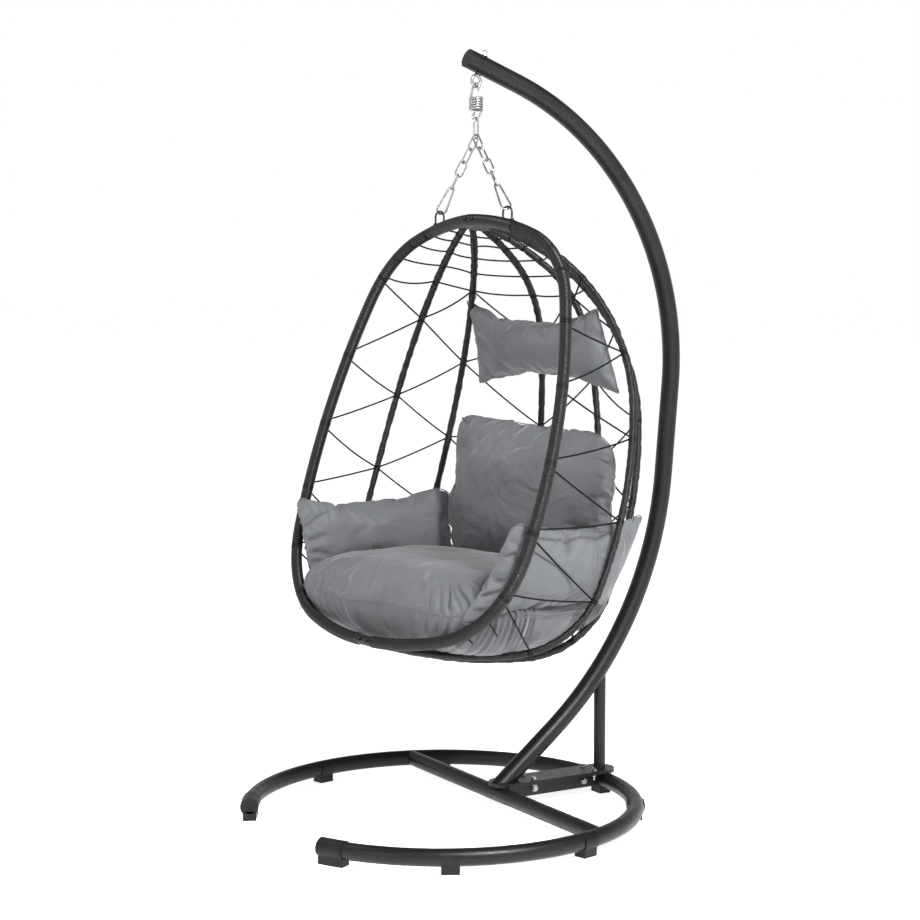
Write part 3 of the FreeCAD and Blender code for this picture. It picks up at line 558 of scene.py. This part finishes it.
def two_sheets(nu, nv, half_u, half_v, corner, puff):
    """Two sheets sewn at their edge, with a little air between: vertices, faces, grid places, seam loop."""
    vertices, faces, grid = [], [], []
    index = {}
    for sheet in (1, -1):
        for i in range(nu + 1):
            for j in range(nv + 1):
                edge = i in (0, nu) or j in (0, nv)
                if edge and sheet == -1:
                    index[sheet, i, j] = index[1, i, j]
                    continue
                u = 2 * i / nu - 1
                v = 2 * j / nv - 1
                reach = max(abs(u), abs(v))
                x, y = 0.0, 0.0
                if reach > 0:
                    x, y = rounded_corner(half_u * u / reach, half_v * v / reach, half_u, half_v, corner)
                    x, y = x * reach, y * reach
                dome = (1 - u ** 2) * (1 - v ** 2)
                wobble = noise.noise(Vector((x * 14, y * 14, sheet * 3.1 + half_u * 40))) * 0.006
                index[sheet, i, j] = len(vertices)
                grid.append((i, j))
                vertices.append((x, y, 0.0 if edge else sheet * puff * dome ** 0.5 + wobble))
        for i in range(nu):
            for j in range(nv):
                quad = [index[sheet, i, j], index[sheet, i + 1, j]]
                quad += [index[sheet, i + 1, j + 1], index[sheet, i, j + 1]]
                faces.append(tuple(quad if sheet == 1 else reversed(quad)))
    loop = [index[1, i, 0] for i in range(nu + 1)] + [index[1, nu, j] for j in range(1, nv + 1)]
    loop += [index[1, i, nv] for i in range(nu - 1, -1, -1)] + [index[1, 0, j] for j in range(nv - 1, 0, -1)]
    return vertices, faces, grid, loop


def straighten(flat, start, grid, counts, share):
    """Undo a share of the way the sheets' edges drew in while they filled."""
    for axis, along in ((1, 0), (0, 1)):
        for last in (False, True):
            ratios = np.ones(counts[along] + 1)
            for vertex, cell in enumerate(grid):
                if cell[axis] == (counts[axis] if last else 0) and abs(start[vertex][axis]) > 1e-6:
                    ratios[cell[along]] = flat[vertex, axis] / start[vertex][axis]
            ratios = np.convolve(np.pad(ratios, 2, mode="edge"), NEIGHBOUR_WEIGHTS, mode="valid")
            for vertex, cell in enumerate(grid):
                if (start[vertex][axis] > 0) == last:
                    flat[vertex, axis] *= (1 - share) + share / max(ratios[cell[along]], 0.3)
    return flat


def fold_profile(offset):
    """Depth across a fold: a valley with one steep and one easy side, and a low lip beyond the steep one."""
    if offset < 0:
        return math.exp(-(offset / 1.6) ** 2)
    return math.exp(-(offset / 0.6) ** 2) - 0.30 * math.exp(-((offset - 1.5) / 0.8) ** 2)


def crease_depth(u, v, half_u, half_v, creases):
    """How far the folds press in at a place on a sheet. Each fold is (edge, where along it, length, depth,
    width, slant), and runs in from that edge."""
    total = 0.0
    for edge, where, length, depth, width, slant in creases:
        if edge in ("top", "bottom"):
            inward = half_v - v if edge == "top" else half_v + v
            aside = u - where * half_u
        else:
            inward = half_u - u if edge == "right" else half_u + u
            aside = v - where * half_v
        aside -= slant * inward
        if inward < length * 1.3 and abs(aside) < 3 * width:
            fade = max(0.0, 1 - (inward / (length * 1.3)) ** 2)
            total += FOLD_DEPTH * depth * fade * fold_profile(aside / width)
    return total


def small_creases(edges, seed):
    """Short puckers at random places along the named edges."""
    rng = random.Random(seed)
    creases = []
    for edge, count in edges:
        for k in range(count):
            where = -0.9 + 1.8 * (k + rng.uniform(0.1, 0.9)) / count
            creases.append((edge, where, rng.uniform(0.03, 0.075), rng.uniform(0.003, 0.0065),
                            rng.uniform(0.006, 0.011), rng.uniform(-0.35, 0.35)))
    return creases


def inflate(vertices, faces, pressure, frames=SIM_FRAMES, stiffness=12.0, bending=0.4, cap=None):
    """Vertex places after a cloth simulation under pressure. No vertex moves further than the cap."""
    mesh = bpy.data.meshes.new("sim")
    mesh.from_pydata([tuple(v) for v in vertices], [], faces)
    mesh.update()
    piece = bpy.data.objects.new("sim", mesh)
    bpy.context.scene.collection.objects.link(piece)
    cloth = piece.modifiers.new("cloth", "CLOTH")
    cloth.point_cache.frame_start = 1
    cloth.point_cache.frame_end = frames
    settings = cloth.settings
    settings.quality = 6
    settings.mass = 0.25
    settings.air_damping = 2.0
    settings.tension_stiffness = stiffness
    settings.compression_stiffness = stiffness
    settings.shear_stiffness = stiffness * 0.5
    settings.bending_stiffness = bending
    settings.use_pressure = True
    settings.uniform_pressure_force = pressure
    settings.effector_weights.gravity = 0.0
    scene = bpy.context.scene
    for number in range(1, frames + 1):
        scene.frame_set(number)
    graph = bpy.context.evaluated_depsgraph_get()
    result = piece.evaluated_get(graph).to_mesh()
    out = np.empty(len(vertices) * 3)
    result.vertices.foreach_get("co", out)
    out = out.reshape(-1, 3)
    bpy.data.objects.remove(piece)
    scene.frame_set(1)
    start = np.array([tuple(v) for v in vertices])
    if cap:
        move = out - start
        far = np.linalg.norm(move, axis=1, keepdims=True)
        out = start + move * np.minimum(1.0, cap / np.maximum(far, 1e-9))
    return out


def pillow(name, node, grid_size, size, corner, thickness, surface, bending, square, creases):
    """A stuffed two-sheet cushion. surface(s, t) gives the seam surface's point and outward direction.
    Square is the share of the edges' draw-in that is undone."""
    nu, nv = grid_size
    start, faces, grid, loop = two_sheets(nu, nv, size[0] / 2, size[1] / 2, corner, thickness * 0.25)
    flat = inflate(start, faces, PRESSURE, bending=bending)
    if square:
        flat = straighten(flat, start, grid, grid_size, square)
    half_u = np.abs(flat[:, 0]).max()
    half_v = np.abs(flat[:, 1]).max()
    flat[:, 2] *= thickness / (flat[:, 2].max() - flat[:, 2].min())
    placed = []
    for u, v, w in flat:
        press = crease_depth(u, v, half_u, half_v, creases)
        w -= math.copysign(min(press, MOST_PRESSED * abs(w)), w)
        point, out = surface(u / half_u, v / half_v)
        placed.append(point + out * w)
    piece = new_piece(name, placed, faces, "cushion_fabric")
    smooth = piece.modifiers.new("smooth", "SUBSURF")
    smooth.levels = 1
    smooth.render_levels = 1
    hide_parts(node)
    cord_curve(name + "_seam", [[placed[i] for i in loop + loop[:1]]], SEAM_RADIUS, "cushion_fabric")


def bilinear(corners, s, t):
    """Point on the patch with corners at (-1,-1), (1,-1), (1,1), (-1,1)."""
    a, b, c, d = (Vector(corner) for corner in corners)
    u, v = (s + 1) / 2, (t + 1) / 2
    return a * ((1 - u) * (1 - v)) + b * (u * (1 - v)) + c * (u * v) + d * ((1 - u) * v)


def patch(corners, bow=0.0, bow_axis=(0, 1, 0)):
    """A seam surface through four basket places, bowed in the middle across its width."""
    def surface(s, t):
        step = 0.02
        here = bilinear(corners, s, t) + Vector(bow_axis) * (bow * (1 - s * s))
        du = bilinear(corners, s + step, t) - bilinear(corners, s - step, t)
        du += Vector(bow_axis) * (bow * ((1 - (s + step) ** 2) - (1 - (s - step) ** 2)))
        dv = bilinear(corners, s, t + step) - bilinear(corners, s, t - step)
        out = du.cross(dv).normalized()
        return place(*here), direction(*out)
    return surface


# Folds: (edge, where along it from -1 to 1, length, depth, width, slant). Corners are basket places, in the
# order that patch() takes.
PILLOW_FOLDS = [("top", -0.62, 0.06, 0.006, 0.008, 0.2), ("top", -0.5, 0.05, 0.005, 0.007, -0.5),
                ("top", -0.05, 0.075, 0.007, 0.008, -0.1), ("top", 0.06, 0.05, 0.005, 0.007, 0.1),
                ("top", 0.62, 0.10, 0.006, 0.010, -0.7), ("left", 0.4, 0.09, 0.006, 0.012, -0.4)]
PILLOW_CORNERS = ((-0.255, 0.235, 1.098), (0.283, 0.235, 1.086),
                  (0.247, 0.195, 1.303), (-0.276, 0.195, 1.328))
pillow("head_pillow_cover", "head_pillow", grid_size=(76, 34), size=(0.60, 0.27), corner=0.004,
       thickness=0.115, surface=patch(PILLOW_CORNERS, 0.02), bending=0.15, square=0.0,
       creases=PILLOW_FOLDS + small_creases((("top", 7), ("bottom", 8)), 3))

BACK_FOLDS = [("top", -0.36, 0.13, 0.009, 0.011, -0.75), ("top", -0.28, 0.12, 0.009, 0.010, -0.4),
              ("top", -0.16, 0.14, 0.008, 0.012, -0.5), ("top", -0.52, 0.10, 0.006, 0.010, -0.6),
              ("right", -0.33, 0.12, 0.010, 0.012, 0.15), ("right", -0.45, 0.10, 0.007, 0.010, 0.2),
              ("right", 0.55, 0.06, 0.006, 0.010, 0.3), ("left", 0.1, 0.05, 0.004, 0.012, 0.0)]
BACK_CORNERS = ((-0.285, 0.150, 0.615), (0.330, 0.150, 0.615),
                (0.340, 0.180, 0.992), (-0.292, 0.180, 1.030))
pillow("back_cushion_cover", "back_cushion", grid_size=(76, 54), size=(0.68, 0.48), corner=0.115,
       thickness=0.160, surface=patch(BACK_CORNERS, 0.02), bending=0.6, square=0.85,
       creases=BACK_FOLDS + small_creases((("top", 9), ("right", 9), ("left", 6)), 5))

LEFT_FOLDS = [("right", 0.25, 0.09, 0.009, 0.010, 0.4), ("right", -0.1, 0.07, 0.007, 0.010, 0.2),
              ("top", 0.45, 0.07, 0.006, 0.010, -0.3), ("top", -0.2, 0.07, 0.005, 0.010, 0.2),
              ("top", -0.7, 0.06, 0.006, 0.010, 0.5)]
LEFT_CORNERS = ((-0.300, 0.180, 0.596), (-0.385, -0.245, 0.590),
                (-0.400, -0.287, 0.803), (-0.312, 0.182, 0.812))
pillow("arm_cushion_left_cover", "arm_cushion_left", grid_size=(72, 34), size=(0.58, 0.26), corner=0.045,
       thickness=0.125, surface=patch(LEFT_CORNERS, -0.072, (1, 0, 0)), bending=0.15, square=0.15,
       creases=LEFT_FOLDS + small_creases((("top", 9), ("right", 5)), 8))

RIGHT_FOLDS = [("left", 0.7, 0.06, 0.007, 0.008, -0.2), ("left", 0.35, 0.07, 0.008, 0.009, 0.3),
               ("left", 0.0, 0.06, 0.007, 0.009, -0.2), ("left", -0.35, 0.07, 0.008, 0.009, 0.2),
               ("left", -0.7, 0.06, 0.007, 0.009, 0.1), ("top", 0.15, 0.12, 0.008, 0.011, 0.5),
               ("top", 0.55, 0.09, 0.008, 0.010, 0.2), ("top", 0.75, 0.09, 0.007, 0.010, 0.1)]
RIGHT_CORNERS = ((0.318, -0.322, 0.560), (0.425, 0.050, 0.585),
                 (0.436, 0.172, 0.798), (0.418, -0.240, 0.803))
pillow("arm_cushion_right_cover", "arm_cushion_right", grid_size=(72, 34), size=(0.58, 0.27), corner=0.025,
       thickness=0.118, surface=patch(RIGHT_CORNERS, 0.006, (1, 0, 0)), bending=0.15, square=0.35,
       creases=RIGHT_FOLDS + small_creases((("top", 8), ("left", 8)), 11))

# ---------------------------------------------------------------- seat cushion

SEAT_MIDDLE = (0.0, -0.085)
SEAT_HALF = (0.410, 0.240)
SEAT_SQUARENESS = 5.0
BOWL_SQUARENESS = 2.4
SEAM_HEIGHT = 0.580
CROWN = 0.092
BELLY = 0.130
FRONT_BELLY_LESS = 0.030
SEAM_MEAN_RADIUS = 0.36
GATHER_GAPS = (0.016, 0.042)


def seam_walk(angle):
    """Rough distance along the seat's seam at an angle round it, in metres."""
    return angle * SEAM_MEAN_RADIUS


# Gathers at the seam: (where along it, depth, width, how far in they reach, slant)
seat_rng = random.Random(21)
SEAT_CREASES = []
walk = 0.0
while walk < seam_walk(2 * math.pi):
    SEAT_CREASES.append((walk, seat_rng.uniform(0.006, 0.015), seat_rng.uniform(0.005, 0.009),
                         seat_rng.uniform(0.68, 0.88), seat_rng.uniform(-0.12, 0.12)))
    walk += seat_rng.uniform(*GATHER_GAPS)


def seat_press(along, rho, on_top):
    """How far the gathers at the seat's seam press in."""
    total = 0.0
    for where, depth, width, inner_end, slant in SEAT_CREASES:
        aside = along - where - slant * (1 - rho)
        if abs(aside) < 3 * width:
            fade = max(0.0, (rho - inner_end) / (1 - inner_end)) ** 0.7 * (0.8 if on_top else 1.0)
            fade *= 1.0 if rho < 0.995 else 0.45
            total += depth * fade * fold_profile(aside / width)
    return total


def seat_shape(around, top_rings, bottom_rings):
    """Crowned top and bowl-shaped belly that meet at a seam: vertices, faces, the seam loop, and for each
    vertex (distance along the seam, share of the way out to the seam, whether it is on top)."""
    vertices, faces, rows = [], [], []
    ways = [(0.0, 0.0, True)]
    shares = [i / top_rings for i in range(1, top_rings + 1)]
    shares += [1 - i / bottom_rings for i in range(1, bottom_rings)]
    vertices.append(Vector((SEAT_MIDDLE[0], SEAT_MIDDLE[1], SEAM_HEIGHT + CROWN)))
    for number, share in enumerate(shares):
        row = []
        on_top = number < top_rings
        rho = math.sin(share * math.pi / 2)
        for k in range(around):
            angle = 2 * math.pi * k / around
            c, s = math.cos(angle), math.sin(angle)
            squareness = SEAT_SQUARENESS
            if not on_top:
                squareness = BOWL_SQUARENESS + (SEAT_SQUARENESS - BOWL_SQUARENESS) * rho ** 5
            power = 2 / squareness
            x = SEAT_MIDDLE[0] + SEAT_HALF[0] * rho * math.copysign(abs(c) ** power, c)
            y = SEAT_MIDDLE[1] + SEAT_HALF[1] * rho * math.copysign(abs(s) ** power, s)
            if on_top:
                z = SEAM_HEIGHT + CROWN * (1 - rho ** 4) ** 0.5
            else:
                fullness = max(0.0, -s)
                depth = BELLY - FRONT_BELLY_LESS * fullness ** 2
                z = SEAM_HEIGHT - depth * (1 - rho ** (3.2 + 6.0 * fullness)) ** (0.75 - 0.25 * fullness)
            front = max(0.0, -(y + 0.15)) / 0.17
            y += 0.62 * max(0.0, x - 0.27) * front
            ways.append((seam_walk(angle), rho, on_top))
            z += 0.006 * noise.noise(Vector((x * 9, y * 9, 0.3 if on_top else 5.0)))
            row.append(len(vertices))
            vertices.append(Vector((x, y, z)))
        rows.append(row)
    last = len(vertices)
    vertices.append(Vector((SEAT_MIDDLE[0], SEAT_MIDDLE[1], SEAM_HEIGHT - BELLY)))
    for k in range(around):
        nxt = (k + 1) % around
        faces.append((0, rows[0][k], rows[0][nxt]))
        faces.append((last, rows[-1][nxt], rows[-1][k]))
    for upper, lower in zip(rows, rows[1:]):
        for k in range(around):
            nxt = (k + 1) % around
            faces.append((upper[k], lower[k], lower[nxt], upper[nxt]))
    ways.append((0.0, 0.0, False))
    return vertices, faces, rows[top_rings - 1], ways


seat_vertices, seat_faces, seat_seam, seat_ways = seat_shape(320, 34, 28)
seat_places = inflate(seat_vertices, seat_faces, 3.0, frames=10, stiffness=10.0, bending=0.1, cap=0.010)
seat_world = []
for drawn, puffed, (walked, rho, on_top) in zip(seat_vertices, seat_places, seat_ways):
    spot = drawn.lerp(Vector(puffed), min(1.0, (rho / 0.7) ** 2))
    press = seat_press(walked, rho, on_top)
    inner = Vector((SEAT_MIDDLE[0] - spot[0], SEAT_MIDDLE[1] - spot[1])).normalized()
    lift = press * (-0.9 if on_top else 0.35)
    seat_world.append(place(spot[0] + inner.x * press, spot[1] + inner.y * press, spot[2] + lift))
seat = new_piece("seat_cushion_cover", seat_world, seat_faces, "cushion_fabric")
seat_smooth = seat.modifiers.new("smooth", "SUBSURF")
seat_smooth.levels = 1
seat_smooth.render_levels = 1
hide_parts("seat_cushion")
seat_loop = [seat_world[i] for i in seat_seam + seat_seam[:1]]
cord_curve("seat_cushion_seam", [seat_loop], 0.0014, "cushion_fabric")

# ---------------------------------------------------------------- care label

label_low, label_high = (Vector(corner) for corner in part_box("care_label"))
label_top = (label_low + label_high) / 2
label_top.z = label_high.z
label_vertices, label_faces = [], []
LABEL_ROWS, LABEL_COLUMNS = 12, 6
LABEL_WIDTH, LABEL_LENGTH, LABEL_THICKNESS, LABEL_CURL = 0.012, 0.026, 0.0006, 0.004
for face_side in (0, 1):
    for i in range(LABEL_ROWS + 1):
        for j in range(LABEL_COLUMNS + 1):
            t = i / LABEL_ROWS
            curl = LABEL_CURL * math.sin(t * 2.6) + LABEL_THICKNESS * face_side
            offset = direction(LABEL_WIDTH * (j / LABEL_COLUMNS - 0.5), -curl, -LABEL_LENGTH * t)
            label_vertices.append(label_top + offset)
row_size = LABEL_COLUMNS + 1
sheet_size = row_size * (LABEL_ROWS + 1)
for face_side in (0, 1):
    for i in range(LABEL_ROWS):
        for j in range(LABEL_COLUMNS):
            a = face_side * sheet_size + i * row_size + j
            quad = (a, a + 1, a + row_size + 1, a + row_size)
            label_faces.append(quad if face_side else tuple(reversed(quad)))
label = new_piece("care_label_cloth", label_vertices, label_faces, "label_cloth")
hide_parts("care_label")

# ---------------------------------------------------------------- floor, light and camera

floor_mesh = bpy.data.meshes.new("floor")
FLOOR = 90.0
floor_corners = [(-FLOOR, -FLOOR, 0), (FLOOR, -FLOOR, 0), (FLOOR, FLOOR, 0), (-FLOOR, FLOOR, 0)]
floor_mesh.from_pydata(floor_corners, [], [(0, 1, 2, 3)])
floor = bpy.data.objects.new("floor", floor_mesh)
bpy.context.scene.collection.objects.link(floor)
floor_nodes = Nodes("pale_floor")
floor_tone = floor_nodes.ramp(floor_nodes.noise(1.5, 3.0), [(0.3, 0.86), (0.7, 0.89)])
floor_mesh.materials.append(floor_nodes.finish(colour=floor_tone, rough=0.85, specular=0.1))
floor_nodes.shader.inputs["Emission Color"].default_value = (1.0, 1.0, 1.0, 1.0)
floor_nodes.shader.inputs["Emission Strength"].default_value = 0.80

# A white band round the horizon, and a dim sky overhead
world = bpy.data.worlds.new("studio")
world.use_nodes = True
sky = world.node_tree
sky_direction = sky.nodes.new("ShaderNodeTexCoord").outputs["Generated"]
sky_split = sky.nodes.new("ShaderNodeSeparateXYZ")
sky_ramp = sky.nodes.new("ShaderNodeValToRGB")
sky.links.new(sky_direction, sky_split.inputs[0])
sky.links.new(sky_split.outputs["Z"], sky_ramp.inputs["Fac"])
sky.links.new(sky_ramp.outputs["Color"], sky.nodes["Background"].inputs["Color"])
sky_ramp.color_ramp.elements[0].position = 0.27
sky_ramp.color_ramp.elements[0].color = (1.0, 1.0, 1.0, 1.0)
sky_ramp.color_ramp.elements[1].position = 0.50
sky_ramp.color_ramp.elements[1].color = (0.16, 0.16, 0.16, 1.0)
sky.nodes["Background"].inputs["Strength"].default_value = 1.0
bpy.context.scene.world = world
bpy.context.scene.view_settings.view_transform = "Standard"

CHAIR_MIDDLE = Vector((0.0, -0.14, 0.95))


def area_light(name, azimuth, elevation, distance, size, power):
    a, e = math.radians(azimuth), math.radians(elevation)
    away = Vector((math.sin(a) * math.cos(e), -math.cos(a) * math.cos(e), math.sin(e)))
    data = bpy.data.lights.new(name, "AREA")
    data.energy = power
    data.size = size
    light = bpy.data.objects.new(name, data)
    light.location = CHAIR_MIDDLE + away * distance
    light.rotation_euler = away.to_track_quat("Z", "Y").to_euler()
    bpy.context.scene.collection.objects.link(light)


area_light("key", 92, 38, 4.2, 0.8, 300)
area_light("fill", 25, 20, 4.5, 1.4, 30)
area_light("rim", 320, 50, 4.0, 1.2, 30)

RING_MIDDLE = Vector((0.0, -0.1375, 0.0))
CAMERA_AZIMUTH = math.radians(60.0)
CAMERA_DISTANCE = 4.663
CAMERA_HEIGHT = 1.266
CAMERA_PITCH = 0.074
CAMERA_YAW = 0.0095
toward = Vector((-math.sin(CAMERA_AZIMUTH), math.cos(CAMERA_AZIMUTH), 0.0))
camera_data = bpy.data.cameras.new("camera")
camera_data.lens = 72.0
camera_data.sensor_width = 36.0
camera = bpy.data.objects.new("camera", camera_data)
camera.location = RING_MIDDLE - toward * CAMERA_DISTANCE + UP * CAMERA_HEIGHT
look = Matrix.Rotation(-CAMERA_YAW, 3, "Z") @ toward
look = look * math.cos(CAMERA_PITCH) - UP * math.sin(CAMERA_PITCH)
camera.rotation_euler = look.to_track_quat("-Z", "Y").to_euler()
bpy.context.scene.collection.objects.link(camera)
bpy.context.scene.camera = camera
